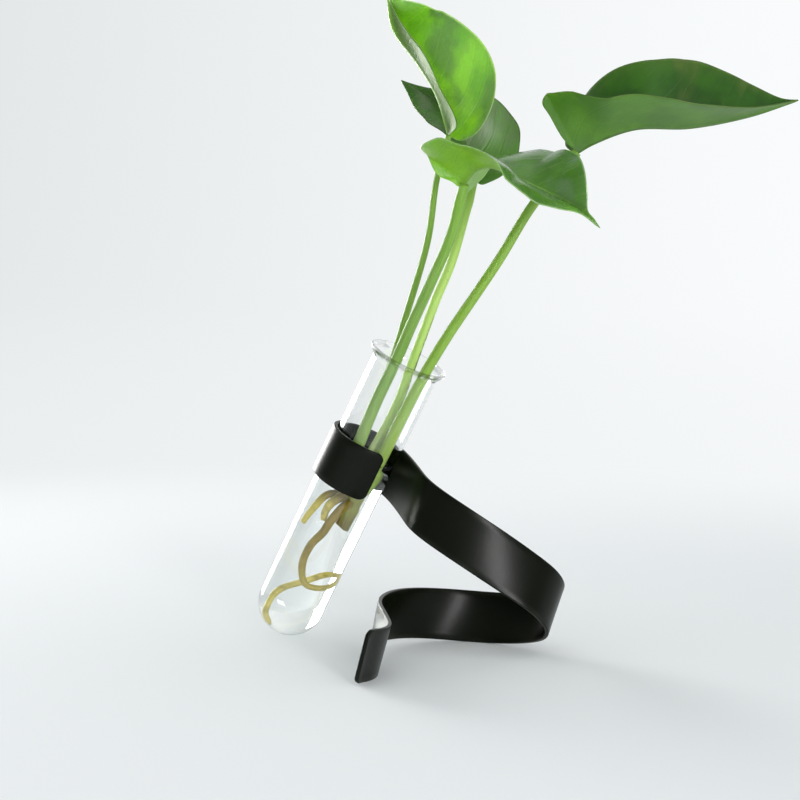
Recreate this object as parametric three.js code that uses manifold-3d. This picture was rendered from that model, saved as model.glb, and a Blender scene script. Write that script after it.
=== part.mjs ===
// A leaning glass test tube in a holder bent from one flat steel strip, with
// water and a rooted pothos cutting. Millimetres and degrees, +Z up. The origin
// is on the table under the middle of the whole outline, +X is to the right and
// +Y is to the back.
import * as THREE from 'three';
import { mergeVertices } from 'three/addons/utils/BufferGeometryUtils.js';
import Module from 'manifold-3d';

const wasm = await Module();
wasm.setup();

// How far the tube leans from upright
const LEAN_RIGHT = 24;
const LEAN_FORWARD = 10;

// Glass tube, round at the bottom, with a flared mouth
const TUBE_DIAMETER = 25;
const GLASS_WALL = 1.2;
const TUBE_LENGTH = 116;
const LIP_OVERHANG = 2.3;
const LIP_HEIGHT = 4.5;

// Holder strip
const STRIP_WIDTH = 19;
const STRIP_THICKNESS = 1.5;
const STRIP_EDGE_CHAMFER = 0.3;
const STRIP_END_RADIUS = 3;
const RING_CLEARANCE = 0.4;
const RING_START = -58;
const RING_END = -307;
const FOOT_FLAT_DEPTH = 0.3;
const BEND_EASING = 4;
const DROP_LENGTH = 22;
const BACK_RUN_LENGTH = 24;
const FORWARD_RUN_LENGTH = 20;
const TAB_LENGTH = 7;

// The strip's bends after its ring, in order, each as its length, how far it
// turns left as seen from above, and how far its width twists.
const BENDS = [
  { length: 14, turn: -25, twist: 3 }, // leaves the ring behind the tube
  { length: 14, turn: -4, twist: 0 },
  { length: 16, turn: 47, twist: -14 }, // swings out to the right
  { length: 18, turn: 18, twist: -10 },
  { length: DROP_LENGTH, turn: 9, twist: -15 }, // runs down to the right
  { length: 16, turn: 54, twist: -11 }, // right-hand turn of the base
  { length: 14, turn: 61, twist: -10 },
  { length: 20, turn: 26, twist: -15 },
  { length: BACK_RUN_LENGTH, turn: 39, twist: -17.5 }, // back run, on the table
  { length: 24, turn: 46, twist: -6 }, // left-hand turn of the base
  { length: 22, turn: 31, twist: 0 },
  { length: FORWARD_RUN_LENGTH, turn: -3, twist: -4 }, // comes forward
  { length: 16, turn: -41, twist: -1 }, // reverse bend
  { length: TAB_LENGTH, turn: 13, twist: 2 }, // end tab
];

// Water
const WATER_LEVEL = 65;
const WATER_CLEARANCE = 0.3;

// Gap that pieces of the plant keep to each other and to the glass
const PLANT_GAP = 0.35;

// Side of the blocks that cut the table and the water level, wider than the vase
const CUTTER_SIZE = 400;

// The plant's points are [across, away, along] from the centre of the tube's
// round bottom: across to the right, away to the back, along up the tube.
const STEM_DIAMETER = 6.2;
const STEM_CUT_DIAMETER = 4.4;
const STEM_POINTS = [[3.3, 0.5, 35.8], [3.2, 0.5, 42], [2.6, 0.3, 49], [1.4, 0, 58]];
const STUB_DIAMETER = 3.4;
const STUB_POINTS = [
  [1.9, -0.6, 49.5], [-0.6, -2, 46], [-2.3, -2.8, 42.5], [-2.7, -3, 39], [-2.1, -2.8, 35.5],
];

const ROOTS = [
  {
    name: 'root_long',
    diameter: 3,
    tipDiameter: 1.5,
    points: [
      [2.6, -1.2, 46], [1.2, -4, 42.5], [-0.2, -5.4, 37], [-0.8, -5.6, 32], [-2.6, -5.8, 25.5],
      [-2.3, -6, 17.5], [1.2, -6, 11.2], [6.2, -5, 12], [8.8, -0.5, 16.2], [6, 5, 15.4],
      [0.8, 6, 9], [-3.6, 4.6, 2.4], [-5, 3, -3], [-4.6, 2, -6.6], [-2.2, 1, -8.4],
    ],
  },
  {
    name: 'root_side',
    diameter: 2.6,
    tipDiameter: 1.9,
    points: [[1.6, 0.6, 49.5], [-1.4, 0.4, 46.9], [-4.2, -0.6, 44.2], [-6, -1.2, 38.5], [-7.4, -1.2, 30.6]],
  },
];

// Each leaf stalk, from inside the stem towards its leaf, where it ends.
const PETIOLES = [
  {
    name: 'petiole_1',
    diameter: 2.8,
    tipDiameter: 2.2,
    points: [
      [1.4, 0.6, 51], [-0.8, 2.6, 56], [-2.6, 4, 62], [-3.3, 4.4, 69], [-4, 4.5, 82], [-5, 5.2, 99],
      [-7.2, 6.5, 114], [-12.1, 8, 144], [-18.7, 10, 165.5],
    ],
  },
  {
    name: 'petiole_2',
    diameter: 4.6,
    tipDiameter: 3.6,
    points: [
      [1.9, 0, 50], [-0.9, -1.8, 55], [-2.6, -3.3, 61], [-3.2, -3.7, 70], [-3.9, -4, 84], [-4, -4.8, 103],
      [-4.5, -5.5, 114.5], [-4.9, -7, 132.3], [-5.8, -8.3, 152.2],
    ],
  },
  {
    name: 'petiole_3',
    diameter: 3.7,
    tipDiameter: 3.4,
    points: [
      [2, 0.8, 52], [2.5, 2.6, 57], [2.8, 3.7, 63], [3.4, 4, 73], [3.6, 5.2, 86.5], [2.2, 7.5, 100.2],
      [0.7, 9.5, 116], [0, 12.5, 124.4], [-0.7, 18, 138.8], [-3.6, 23, 155.9],
    ],
  },
  {
    name: 'petiole_4',
    diameter: 4.4,
    tipDiameter: 3.3,
    points: [
      [2.6, 0, 48], [4.6, -1.4, 53.5], [6.2, -2.4, 60], [6.7, -2.6, 68], [7, -2.4, 88.8],
      [7.6, -1.6, 102.1], [9, -0.6, 116.6], [13.8, 3.5, 148.6], [16.4, 7, 172],
    ],
  },
];

// Half outlines of the leaves, from the notch at the stalk to the tip, each point
// as [share of the length along the midrib, share of the half width outwards].
const LEAF_1_LEFT = [
  [0, 0], [0.02, 0.12], [0.05, 0.3], [0.09, 0.52], [0.14, 0.76], [0.2, 0.93], [0.3, 1],
  [0.42, 0.98], [0.57, 0.87], [0.7, 0.67], [0.81, 0.41], [0.91, 0.16], [1, 0],
];
const LEAF_1_RIGHT = [
  [0, 0], [-0.045, 0.08], [-0.062, 0.2], [-0.05, 0.4], [0.008, 0.6], [0.087, 0.76], [0.18, 0.88],
  [0.25, 0.945], [0.33, 0.97], [0.42, 0.95], [0.53, 0.87], [0.66, 0.75], [0.8, 0.61], [0.94, 0.38], [1, 0],
];
const LEAF_2_LEFT = [
  [0, 0], [-0.05, 0.14], [-0.09, 0.38], [-0.05, 0.6], [0.06, 0.8], [0.18, 0.93], [0.32, 0.98],
  [0.45, 0.93], [0.56, 0.86], [0.65, 0.78], [0.75, 0.58], [0.83, 0.26], [0.88, 0.08], [0.94, 0.05], [1, 0],
];
const LEAF_2_RIGHT = [
  [0, 0], [-0.033, 0.06], [-0.035, 0.19], [-0.054, 0.4], [-0.042, 0.53], [-0.008, 0.7], [0.03, 0.86],
  [0.075, 1.03], [0.14, 1.05], [0.22, 1.06], [0.31, 1.06], [0.42, 1.03], [0.56, 0.9], [0.67, 0.8],
  [0.78, 0.5], [0.87, 0.12], [1, 0],
];
const LEAF_3_LEFT = [
  [0, 0], [-0.05, 0.14], [-0.08, 0.36], [-0.03, 0.56], [0.07, 0.72], [0.2, 0.84], [0.33, 0.92],
  [0.45, 0.95], [0.58, 0.87], [0.7, 0.67], [0.81, 0.41], [0.91, 0.16], [1, 0],
];
const LEAF_3_RIGHT = [
  [0, 0], [-0.06, 0.1], [-0.053, 0.275], [-0.021, 0.51], [0.05, 0.72], [0.123, 0.88], [0.19, 1.02],
  [0.26, 1.1], [0.34, 1.08], [0.44, 0.94], [0.54, 0.7], [0.65, 0.4], [0.76, 0.18], [0.86, 0.08], [1, 0],
];
const LEAF_4_LEFT = [
  [0, 0], [-0.02, 0.12], [-0.02, 0.3], [0.02, 0.5], [0.07, 0.7], [0.14, 0.84], [0.24, 0.92],
  [0.35, 0.96], [0.45, 0.99], [0.59, 0.92], [0.715, 0.7], [0.83, 0.41], [0.93, 0.11], [1, 0],
];
const LEAF_4_RIGHT = [
  [0, 0], [-0.027, 0.27], [-0.031, 0.64], [-0.034, 0.85], [0.004, 0.94], [0.045, 0.92], [0.12, 0.88],
  [0.2, 0.9], [0.29, 0.93], [0.42, 0.95], [0.57, 0.87], [0.7, 0.67], [0.81, 0.41], [0.91, 0.16], [1, 0],
];
const LEAF_THICKNESS = 0.8;

// Leaf blades, each along its midrib and from there to its margin
const LEAF_1_LENGTH = 59.3;
const LEAF_1_HALF_WIDTH = 24;
const LEAF_2_LENGTH = 58.9;
const LEAF_2_HALF_WIDTH = 22;
const LEAF_3_LENGTH = 47.1;
const LEAF_3_HALF_WIDTH = 20;
const LEAF_4_LENGTH = 80.7;
const LEAF_4_HALF_WIDTH = 26;

// Each leaf has the course of its midrib from stalk to tip, the outlines of its
// two halves, and the directions that they point out in, evenly spaced from stalk
// to tip. Left and right are seen from above the leaf, looking to its tip.
const LEAVES = [
  {
    name: 'leaf_1',
    midrib: [
      [-21.4, 12, 181.1], [-31.5, 8, 192.5], [-42.3, 3, 200.2], [-55.2, -4, 208.2], [-61.2, -10, 218],
    ],
    length: LEAF_1_LENGTH,
    halfWidth: LEAF_1_HALF_WIDTH,
    leftOutline: LEAF_1_LEFT,
    rightOutline: LEAF_1_RIGHT,
    left: [
      [0.32, -0.95, -0.04], [0.34, -0.93, -0.04], [0.36, -0.92, -0.02],
      [0.58, -0.8, 0.13], [0.75, -0.66, 0.05],
    ],
    right: [[0.6, 0.2, 0.76], [0.6, 0.2, 0.76], [0.7, -0.1, 0.7]],
  },
  {
    name: 'leaf_2',
    midrib: [
      [-9.3, -9, 170.5], [-7.8, -9.5, 176.8], [-3.9, -11.5, 180.3], [1.8, -14, 181.2],
      [8.2, -17, 180.9], [17.1, -21, 181.6], [27.9, -26, 182.1], [38.5, -30, 179.9],
    ],
    length: LEAF_2_LENGTH,
    halfWidth: LEAF_2_HALF_WIDTH,
    leftOutline: LEAF_2_LEFT,
    rightOutline: LEAF_2_RIGHT,
    left: [
      [0.3, 0.9, 0.1], [0.34, 0.9, 0.27], [0.33, 0.73, 0.6],
      [0.17, 0.5, 0.85], [0.06, 0, 1], [0, -0.4, 0.9],
    ],
    right: [
      [-0.92, -0.04, 0.37], [-0.78, -0.58, 0.2], [-0.52, -0.82, 0.22], [-0.4, -0.88, 0.25],
      [-0.39, -0.89, 0.22], [-0.4, -0.9, 0.03], [-0.41, -0.9, -0.07], [-0.41, -0.89, -0.19],
      [-0.4, -0.89, -0.2], [-0.35, -0.93, -0.05], [-0.34, -0.94, 0.05],
    ],
  },
  {
    name: 'leaf_3',
    midrib: [
      [-6.3, 27, 168.9], [-10.7, 30, 174.5], [-19.1, 32, 181.7], [-31.9, 33, 187.2], [-45.8, 32, 189.2],
    ],
    length: LEAF_3_LENGTH,
    halfWidth: LEAF_3_HALF_WIDTH,
    leftOutline: LEAF_3_LEFT,
    rightOutline: LEAF_3_RIGHT,
    left: [[-0.4, -0.75, 0.4], [-0.3, -0.88, 0.05], [-0.17, -0.93, -0.3], [-0.06, -0.5, -0.85]],
    right: [[0.75, 0.2, 0.64], [0.65, 0.25, 0.67], [0.6, 0.3, 0.7]],
  },
  {
    name: 'leaf_4',
    midrib: [
      [22.4, 9, 195.6], [26.1, 10, 200.8], [37.2, 11, 211.7], [54.8, 11, 220.6],
      [71.8, 10, 233.2], [84.6, 9, 245.7],
    ],
    length: LEAF_4_LENGTH,
    halfWidth: LEAF_4_HALF_WIDTH,
    leftOutline: LEAF_4_LEFT,
    rightOutline: LEAF_4_RIGHT,
    left: [[-0.48, 0.84, 0.21], [-0.5, 0.4, 0.78], [-0.52, 0.38, 0.77], [-0.56, 0.42, 0.71]],
    right: [
      [-0.77, -0.21, 0.6], [-0.4, -0.79, 0.47], [-0.27, -0.87, 0.42],
      [-0.27, -0.9, 0.34], [-0.29, -0.92, 0.26], [-0.3, -0.92, 0.26],
    ],
  },
];

const blackSteel = new THREE.MeshStandardMaterial({ color: 0x15180f, roughness: 0.42, metalness: 0.2 });
const clearGlass = new THREE.MeshStandardMaterial({
  color: 0xf2f7f6, roughness: 0.04, metalness: 0, transparent: true, opacity: 0.3,
});
const clearWater = new THREE.MeshStandardMaterial({
  color: 0xe6efee, roughness: 0.03, metalness: 0, transparent: true, opacity: 0.35,
});
const stalkGreen = new THREE.MeshStandardMaterial({ color: 0x7aa53a, roughness: 0.45, metalness: 0 });
const rootBrown = new THREE.MeshStandardMaterial({ color: 0x8a7434, roughness: 0.6, metalness: 0 });
const leafGreen = new THREE.MeshStandardMaterial({ color: 0x3f7f22, roughness: 0.4, metalness: 0 });

const radians = THREE.MathUtils.degToRad;

// A closed geometry as a solid for cutting, and back again.
function toSolid(geometry) {
  const bare = geometry.clone();
  bare.deleteAttribute('normal');
  bare.deleteAttribute('uv');
  const merged = mergeVertices(bare, 1e-4);
  return new wasm.Manifold(new wasm.Mesh({
    numProp: 3,
    vertProperties: new Float32Array(merged.attributes.position.array),
    triVerts: new Uint32Array(merged.index.array),
  }));
}

function toGeometry(solid) {
  const mesh = solid.getMesh();
  const geometry = new THREE.BufferGeometry();
  geometry.setAttribute('position', new THREE.BufferAttribute(new Float32Array(mesh.vertProperties), 3));
  geometry.setIndex(new THREE.BufferAttribute(new Uint32Array(mesh.triVerts), 1));
  geometry.computeVertexNormals();
  return geometry;
}

function largestBody(solid) {
  return solid.decompose().reduce((best, body) => (body.volume() > best.volume() ? body : best));
}

function piece(name, geometry, material) {
  const mesh = new THREE.Mesh(geometry, material);
  mesh.name = name;
  return mesh;
}

function smoothCurve(points) {
  return new THREE.CatmullRomCurve3(points.map((p) => new THREE.Vector3(...p)), false, 'centripetal');
}

// Rows of points joined into a closed skin, with a flat cap over each end row.
function closedSkin(rows) {
  const count = rows[0].length;
  const positions = rows.flat().flatMap((p) => [p.x, p.y, p.z]);
  const index = [];
  for (let i = 0; i < rows.length - 1; i += 1) {
    for (let j = 0; j < count; j += 1) {
      const a = i * count + j;
      const b = i * count + ((j + 1) % count);
      index.push(a, b, b + count, a, b + count, a + count);
    }
  }
  const last = (rows.length - 1) * count;
  for (let j = 1; j < count - 1; j += 1) {
    index.push(0, j + 1, j);
    index.push(last, last + j, last + j + 1);
  }
  const geometry = new THREE.BufferGeometry();
  geometry.setAttribute('position', new THREE.Float32BufferAttribute(positions, 3));
  geometry.setIndex(index);
  return geometry;
}

// A stalk or root: a round tube along a smooth curve through points, which
// narrows evenly from its first end to its last. grow thickens it all over.
function stalk(shape, steps, sides, grow = 0) {
  const curve = smoothCurve(shape.points);
  if (grow > 0) {
    const points = curve.points;
    points[0].addScaledVector(curve.getTangentAt(0), -grow);
    points[points.length - 1].addScaledVector(curve.getTangentAt(1), grow);
    curve.updateArcLengths();
  }
  const section = new THREE.Shape();
  for (let i = 0; i < sides; i += 1) {
    const angle = (i / sides) * 2 * Math.PI;
    const [x, y] = [Math.cos(angle), Math.sin(angle)];
    if (i === 0) section.moveTo(x, y);
    else section.lineTo(x, y);
  }
  const geometry = new THREE.ExtrudeGeometry(section, { steps, bevelEnabled: false, extrudePath: curve });
  const centres = curve.getSpacedPoints(steps);
  const position = geometry.attributes.position;
  const vertex = new THREE.Vector3();
  for (let i = 0; i < position.count; i += 1) {
    vertex.fromBufferAttribute(position, i);
    const distances = centres.map((c) => Math.abs(vertex.distanceTo(c) - 1));
    const step = distances.indexOf(Math.min(...distances));
    const radius = THREE.MathUtils.lerp(shape.diameter, shape.tipDiameter, step / steps) / 2 + grow;
    vertex.sub(centres[step]).multiplyScalar(radius).add(centres[step]);
    position.setXYZ(i, vertex.x, vertex.y, vertex.z);
  }
  return geometry;
}

// Strip: walk along it from its free end, turning about its own width and
// twisting about its own length.
const ringRadius = TUBE_DIAMETER / 2 + RING_CLEARANCE + STRIP_THICKNESS / 2;
const ringLength = radians(RING_START - RING_END) * ringRadius;
const stretches = [
  { length: ringLength, turn: RING_END - RING_START, twist: 0 },
  ...BENDS,
];
const stripLength = stretches.reduce((sum, stretch) => sum + stretch.length, 0);

// Total turn and twist up to a distance along the strip.
function angleSoFar(distance, key) {
  let total = 0;
  let left = distance;
  for (const [i, stretch] of stretches.entries()) {
    const rate = stretch[key] / stretch.length;
    const last = i === stretches.length - 1;
    if (left <= stretch.length || last) return total + rate * left;
    total += stretch[key];
    left -= stretch.length;
  }
  return total;
}

function easedRate(distance, key) {
  const ahead = angleSoFar(distance + BEND_EASING, key);
  const behind = angleSoFar(distance - BEND_EASING, key);
  return radians(ahead - behind) / (2 * BEND_EASING);
}

function walkStrip(step) {
  const start = radians(RING_START);
  const place = new THREE.Vector3(Math.cos(start), Math.sin(start), 0).multiplyScalar(ringRadius);
  const forward = new THREE.Vector3(Math.sin(start), -Math.cos(start), 0);
  const width = new THREE.Vector3(0, 0, 1);
  const count = Math.round(stripLength / step);
  const length = stripLength / count;
  const stations = [{ at: 0, place: place.clone(), forward: forward.clone(), width: width.clone() }];
  for (let i = 0; i < count; i += 1) {
    const middle = (i + 0.5) * length;
    const turning = forward.clone().multiplyScalar(easedRate(middle, 'twist'));
    turning.addScaledVector(width, easedRate(middle, 'turn'));
    const angle = turning.length() * length;
    turning.normalize();
    const halfway = forward.clone().applyAxisAngle(turning, angle / 2);
    forward.applyAxisAngle(turning, angle).normalize();
    width.applyAxisAngle(turning, angle).normalize();
    place.addScaledVector(halfway, length);
    const at = (i + 1) * length;
    stations.push({ at, place: place.clone(), forward: forward.clone(), width: width.clone() });
  }
  return stations;
}

// Half the strip's width where its end corners are rounded off.
function halfWidthAt(distance) {
  const toEnd = Math.min(distance, stripLength - distance);
  if (toEnd >= STRIP_END_RADIUS) return STRIP_WIDTH / 2;
  const rise = STRIP_END_RADIUS - toEnd;
  return STRIP_WIDTH / 2 - STRIP_END_RADIUS + Math.sqrt(STRIP_END_RADIUS ** 2 - rise ** 2);
}

function stripGeometry() {
  const fine = walkStrip(0.25);
  const wanted = [0, 0.25, 0.75, 1.5];
  const keep = fine.filter((station, i) => {
    const toEnd = Math.min(station.at, stripLength - station.at);
    if (toEnd < 2.9) return wanted.some((w) => Math.abs(w - toEnd) < 0.13);
    return i % 10 === 0;
  });
  const rows = keep.map(({ at, place, forward, width }) => {
    const half = halfWidthAt(at);
    const thin = STRIP_THICKNESS / 2;
    const cut = STRIP_EDGE_CHAMFER;
    const out = new THREE.Vector3().crossVectors(width, forward);
    const corners = [
      [half, cut - thin], [half - cut, -thin], [cut - half, -thin], [-half, cut - thin],
      [-half, thin - cut], [cut - half, thin], [half - cut, thin], [half, thin - cut],
    ];
    return corners.map(([u, v]) => place.clone().addScaledVector(width, u).addScaledVector(out, v));
  });
  return closedSkin(rows);
}

// Glass profile as [radius, height], from the outside of the round bottom up to
// the mouth and down the inside. Height 0 is the centre of the round bottom.
const tubeRadius = TUBE_DIAMETER / 2;
const boreRadius = tubeRadius - GLASS_WALL;
const rimHeight = TUBE_LENGTH - tubeRadius;

function bowl(radius, steps) {
  return Array.from({ length: steps + 1 }, (_, i) => {
    const angle = (i / steps) * (Math.PI / 2);
    return [radius * Math.sin(angle), -radius * Math.cos(angle)];
  });
}

function glassProfile() {
  const flareStart = rimHeight - LIP_HEIGHT;
  const roll = GLASS_WALL / 2;
  const outside = [
    ...bowl(tubeRadius, 9),
    [tubeRadius, flareStart],
    [tubeRadius + LIP_OVERHANG * 0.25, flareStart + LIP_HEIGHT * 0.35],
    [tubeRadius + LIP_OVERHANG * 0.75, flareStart + LIP_HEIGHT * 0.62],
    [tubeRadius + LIP_OVERHANG, rimHeight - roll * 1.3],
    [tubeRadius + LIP_OVERHANG, rimHeight - roll * 0.6],
    [tubeRadius + LIP_OVERHANG - roll * 0.6, rimHeight],
  ];
  const inside = [
    [tubeRadius + LIP_OVERHANG - GLASS_WALL, rimHeight],
    [boreRadius + LIP_OVERHANG * 0.55, flareStart + LIP_HEIGHT * 0.7],
    [boreRadius + LIP_OVERHANG * 0.15, flareStart + LIP_HEIGHT * 0.35],
    [boreRadius, flareStart],
    ...bowl(boreRadius, 8).reverse(),
  ];
  return [...outside, ...inside];
}

// Turned about the tube's axis, with the axis along Z.
function turned(profile, sides) {
  const points = profile.map(([r, h]) => new THREE.Vector2(Math.max(r, 0), h));
  points[0].x = 0;
  points[points.length - 1].x = 0;
  return new THREE.LatheGeometry(points, sides).rotateX(Math.PI / 2);
}

// A leaf's midrib, drawn out from its stalk end to the leaf's length.
function midribOf(leaf) {
  const drawn = smoothCurve(leaf.midrib);
  const scale = leaf.length / drawn.getLength();
  const start = drawn.points[0];
  const grown = drawn.points.map((p) => p.clone().sub(start).multiplyScalar(scale).add(start));
  return smoothCurve(grown.map((p) => p.toArray()));
}

// A vector between the evenly spaced ones of a list.
function between(list, share) {
  const vectors = list.map((v) => new THREE.Vector3(...v).normalize());
  const spot = share * (vectors.length - 1);
  const low = Math.min(Math.floor(spot), vectors.length - 2);
  return vectors[low].lerp(vectors[low + 1], spot - low);
}

// A point of a flat leaf carried onto its curved midrib, with the way its upper
// side faces there. distance is along the midrib and out is away from it; side
// is 1 for the left half and -1 for the right.
function leafFrame(leaf, curve) {
  const length = curve.getLength();
  return (distance, out, side) => {
    const share = THREE.MathUtils.clamp(distance / length, 0, 1);
    const tangent = curve.getTangentAt(share);
    const place = curve.getPointAt(share).addScaledVector(tangent, distance - share * length);
    const [left, right] = [leaf.left, leaf.right].map((list) => {
      const outward = between(list, share);
      return outward.addScaledVector(tangent, -outward.dot(tangent)).normalize();
    });
    const normalLeft = new THREE.Vector3().crossVectors(tangent, left);
    const normalRight = new THREE.Vector3().crossVectors(right, tangent);
    const up = normalLeft.clone().add(normalRight).normalize();
    const [outward, normal] = side > 0 ? [left, normalLeft] : [right, normalRight];
    return { place: place.addScaledVector(outward, out), normal, up };
  };
}

// A thin closed leaf: the two halves are grids of points between the midrib and
// the margin, and the lower side follows the upper one. grow thickens it all over.
function leafGeometry(leaf, grow = 0, alongSteps = 18, outSteps = 5) {
  const curve = midribOf(leaf);
  const frame = leafFrame(leaf, curve);
  const length = curve.getLength();
  const [left, right] = [leaf.leftOutline, leaf.rightOutline].map(
    (half) => new THREE.SplineCurve(half.map((p) => new THREE.Vector2(...p))),
  );
  const positions = [];
  const ids = new Map();
  const put = (i, step, side, layer) => {
    const j = i === 0 || i === alongSteps ? 0 : step;
    const key = `${i},${j === 0 ? 0 : j * side},${layer}`;
    if (ids.has(key)) return ids.get(key);
    const v = i / alongSteps;
    const edge = (side > 0 ? left : right).getPoint(v);
    const root = v ** 1.6;
    const share = j / outSteps;
    const distance = THREE.MathUtils.lerp(root, edge.x, share) * (length + 2 * grow) - grow;
    const out = Math.max(edge.y, 0) * share * (leaf.halfWidth + grow);
    const { place, normal, up } = frame(distance, out, side);
    place.addScaledVector(j === 0 ? up : normal, layer * (LEAF_THICKNESS / 2 + grow));
    positions.push(place.x, place.y, place.z);
    ids.set(key, positions.length / 3 - 1);
    return positions.length / 3 - 1;
  };
  const index = [];
  const triangle = (a, b, c) => {
    if (a !== b && b !== c && c !== a) index.push(a, b, c);
  };
  const quad = (a, b, c, d, flip) => {
    triangle(a, flip ? c : b, flip ? b : c);
    triangle(a, flip ? d : c, flip ? c : d);
  };
  for (const side of [1, -1]) {
    for (let i = 0; i < alongSteps; i += 1) {
      for (let j = 0; j < outSteps; j += 1) {
        for (const layer of [1, -1]) {
          const flip = side * layer < 0;
          quad(
            put(i, j, side, layer), put(i + 1, j, side, layer),
            put(i + 1, j + 1, side, layer), put(i, j + 1, side, layer), flip,
          );
        }
      }
      const m = outSteps;
      quad(
        put(i, m, side, 1), put(i + 1, m, side, 1),
        put(i + 1, m, side, -1), put(i, m, side, -1), side < 0,
      );
    }
  }
  const geometry = new THREE.BufferGeometry();
  geometry.setAttribute('position', new THREE.Float32BufferAttribute(positions, 3));
  geometry.setIndex(index);
  return geometry;
}

// The leaning frame: its origin is the middle of the ring, its Z runs up the
// tube, its X points across to the right and its Y to the back.
const along = new THREE.Vector3(
  Math.tan(radians(LEAN_RIGHT)), -Math.tan(radians(LEAN_FORWARD)), 1,
).normalize();
const across = new THREE.Vector3(0, 1, 0).cross(along).normalize();
const away = new THREE.Vector3().crossVectors(along, across);
const lean = new THREE.Matrix4().makeBasis(across, away, along);

// Stand the strip on the table, its lowest edge ground flat there.
const strip = stripGeometry().applyMatrix4(lean);
strip.computeBoundingBox();
const ringHeight = -strip.boundingBox.min.z - FOOT_FLAT_DEPTH;
strip.translate(0, 0, ringHeight);
const under = new THREE.BoxGeometry(CUTTER_SIZE, CUTTER_SIZE, CUTTER_SIZE);
under.translate(0, 0, -CUTTER_SIZE / 2);
const holder = piece('spiral_holder', toGeometry(toSolid(strip).subtract(toSolid(under))), blackSteel);

// The tube slides down in the ring until its round bottom meets the table.
const tubeDrop = (ringHeight - tubeRadius) / along.z;
const tubeFrame = new THREE.Group();
tubeFrame.applyMatrix4(lean);
tubeFrame.position.copy(along).multiplyScalar(-tubeDrop).add(new THREE.Vector3(0, 0, ringHeight));
tubeFrame.add(piece('glass_tube', turned(glassProfile(), 40), clearGlass));

// A leaf stalk carried on to just short of the notch of its leaf.
function stalkTo(leaf, shape) {
  const notch = new THREE.Vector3(...leaf.midrib[0]);
  const towards = notch.clone().sub(new THREE.Vector3(...shape.points.at(-1))).normalize();
  const end = notch.addScaledVector(towards, -LEAF_THICKNESS / 2 - PLANT_GAP);
  return { ...shape, points: [...shape.points, end.toArray()] };
}

// A leaf and the gap round it: a thickened copy shifted each way and joined.
function leafRoom(leaf) {
  const shifts = [[1, 0, 0], [-1, 0, 0], [0, 1, 0], [0, -1, 0], [0, 0, 1], [0, 0, -1]];
  return shifts
    .map((shift) => leafGeometry(leaf, PLANT_GAP).translate(...shift.map((s) => s * PLANT_GAP)))
    .map(toSolid)
    .reduce((room, solid) => room.add(solid));
}

// Stalks and roots, each cut clear of the ones before it and of its leaf.
const stem = { diameter: STEM_CUT_DIAMETER, tipDiameter: STEM_DIAMETER, points: STEM_POINTS };
const stub = { diameter: STUB_DIAMETER, tipDiameter: STUB_DIAMETER * 0.6, points: STUB_POINTS };
const stalks = [
  { name: 'stem', shape: stem, steps: 8, sides: 12, material: stalkGreen },
  ...PETIOLES.map((shape, i) => ({
    name: shape.name,
    shape: stalkTo(LEAVES[i], shape),
    steps: 26,
    sides: 10,
    material: stalkGreen,
    leaf: LEAVES[i],
  })),
  { name: 'root_nub', shape: stub, steps: 4, sides: 10, material: rootBrown },
  ...ROOTS.map((shape) => ({ name: shape.name, shape, steps: 30, sides: 8, material: rootBrown })),
];
let taken = null;
let wet = null;
for (const { name, shape, steps, sides, material, leaf } of stalks) {
  let cut = toSolid(stalk(shape, steps, sides));
  if (taken) cut = cut.subtract(taken);
  if (leaf) cut = cut.subtract(leafRoom(leaf));
  tubeFrame.add(piece(name, toGeometry(largestBody(cut)), material));
  const grown = toSolid(stalk(shape, steps, sides, PLANT_GAP));
  taken = taken ? taken.add(grown) : grown;
  const soaked = toSolid(stalk(shape, steps, sides, WATER_CLEARANCE));
  wet = wet ? wet.add(soaked) : soaked;
}
for (const leaf of LEAVES) {
  tubeFrame.add(piece(leaf.name, leafGeometry(leaf), leafGreen));
}

// Water fills the bore up to a level surface.
const waterRadius = boreRadius - WATER_CLEARANCE;
const waterBody = toSolid(turned([...bowl(waterRadius, 8), [waterRadius, rimHeight], [0, rimHeight]], 40));
tubeFrame.updateMatrix();
const air = new THREE.BoxGeometry(CUTTER_SIZE, CUTTER_SIZE, CUTTER_SIZE);
air.translate(0, 0, WATER_LEVEL + CUTTER_SIZE / 2);
air.applyMatrix4(tubeFrame.matrix.clone().invert());
const water = waterBody.subtract(toSolid(air)).subtract(wet);
tubeFrame.add(piece('water', toGeometry(water), clearWater));

const vase = new THREE.Group();
vase.add(holder, tubeFrame);

// Put the origin under the middle of the outline.
vase.updateMatrixWorld(true);
const outline = new THREE.Box3().setFromObject(vase, true);
const middle = outline.getCenter(new THREE.Vector3());
vase.position.set(-middle.x, -middle.y, 0);
vase.updateMatrixWorld(true);

export default vase;
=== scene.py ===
"""A leaning glass test tube in a holder bent from one black steel strip, with
water and a rooted pothos cutting. Lengths are in millimetres, but the studio,
the bumps and the light under a skin are in metres."""
import math

import bpy
import numpy as np
from mathutils import Matrix, Vector, noise


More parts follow.
